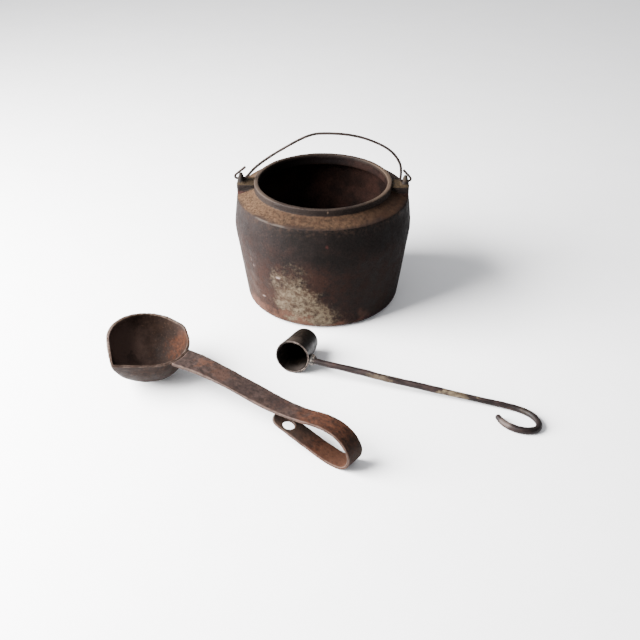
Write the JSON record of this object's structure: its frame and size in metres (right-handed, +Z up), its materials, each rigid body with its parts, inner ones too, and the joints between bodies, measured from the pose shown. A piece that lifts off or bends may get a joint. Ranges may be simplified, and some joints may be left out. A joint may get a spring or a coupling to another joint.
{
  "type": "candle mold",
  "caption": "Candle casting set: iron melting pot with a swinging wire bail, two-lipped ladle with a looped strap handle, and a tapered mould cup on a hooked rod.",
  "frame": {"origin": "the middle of the pot's flat underside, where it stands on the table", "axes": "+Z up; the pot's pivot axis is near X; the ladle and the mould lie in front of the pot, on the -Y side, with the rod's hook towards +X"},
  "size_m": [0.3258, 0.3265, 0.1489],
  "materials": {
    "pot_iron": "weathered, with brown rust",
    "bail_steel": "dark oxide",
    "ladle_iron": "brown patina",
    "strap_iron": "forged, with brown rust",
    "cup_steel": "dark, worn bright at the mouth",
    "rod_steel": "forged, worn in patches",
    "braze": "dull"
  },
  "bodies": {
    "pot": {"pot_casting": "pot_iron"},
    "bail": {"bail_wire": "bail_steel"},
    "ladle": {"ladle_bowl": "ladle_iron", "ladle_handle": "strap_iron"},
    "mould": {"mould_cup": "cup_steel", "mould_handle_rod": "rod_steel", "braze_joint": "braze"}
  },
  "joints": [
    {"name": "bail_swing", "type": "hinge", "parent": "pot", "child": "bail", "pos_m": [0, 0, 0.107], "axis": [0.9993, -0.0384, 0], "range_deg": [-86, 86]},
    {"name": "ladle_lift", "type": "slide", "parent": "pot", "child": "ladle", "axis": [0, 0, 1], "range_m": [0, 0.1]},
    {"name": "mould_lift", "type": "slide", "parent": "pot", "child": "mould", "axis": [0, 0, 1], "range_m": [0, 0.1]}
  ]
}
